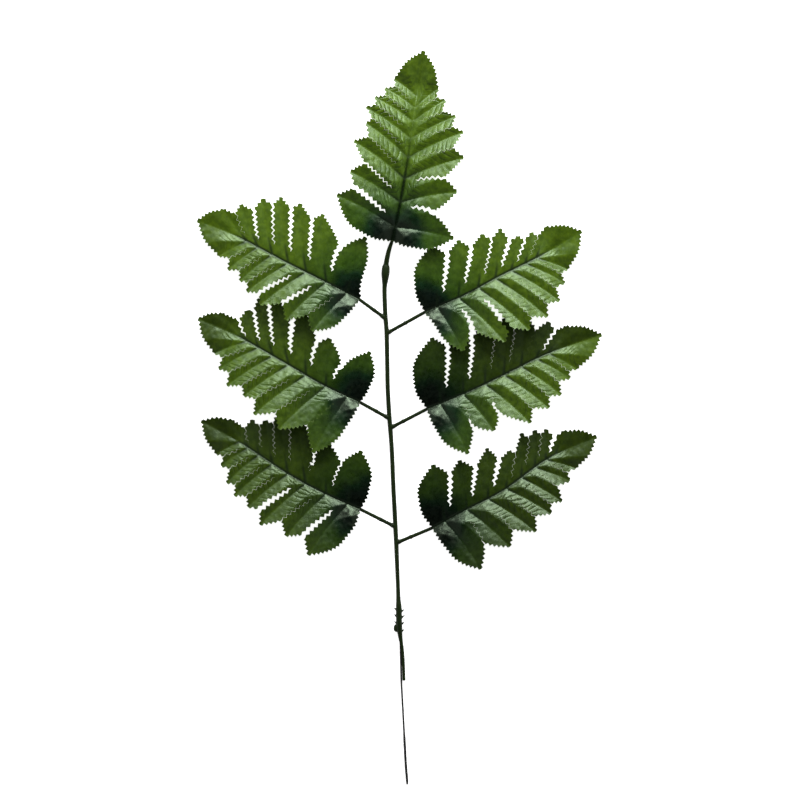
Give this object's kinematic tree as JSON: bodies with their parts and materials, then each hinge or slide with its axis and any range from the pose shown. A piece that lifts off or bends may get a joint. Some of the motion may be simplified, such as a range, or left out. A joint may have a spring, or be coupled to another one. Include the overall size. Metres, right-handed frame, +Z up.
{
  "type": "artificial leather fern spray",
  "caption": "Artificial fern spray that lies flat: a moulded stem on a steel wire, with pinked cloth fronds on ribbed stalks plugged into its sockets.",
  "frame": {"origin": "middle of the spray's outline, on the surface that it lies on", "axes": "+Y along the stem towards the top leaf, +X to the right seen from above, +Z up from the surface"},
  "size_m": [0.2754, 0.4996, 0.0191],
  "materials": {
    "stem_plastic": "satin",
    "wire_steel": "satin",
    "leaf_cloth": "matte",
    "rib_plastic": "satin"
  },
  "bodies": {
    "root": {"stem": "stem_plastic", "stem_wire": "wire_steel", "leaf_top": "leaf_cloth", "leaf_left_1": "leaf_cloth", "leaf_left_2": "leaf_cloth", "leaf_left_3": "leaf_cloth", "leaf_right_1": "leaf_cloth", "leaf_right_2": "leaf_cloth", "leaf_right_3": "leaf_cloth", "rib_top": "rib_plastic", "rib_left_1": "rib_plastic", "rib_left_2": "rib_plastic", "rib_left_3": "rib_plastic", "rib_right_1": "rib_plastic", "rib_right_2": "rib_plastic", "rib_right_3": "rib_plastic"}
  },
  "joints": []
}
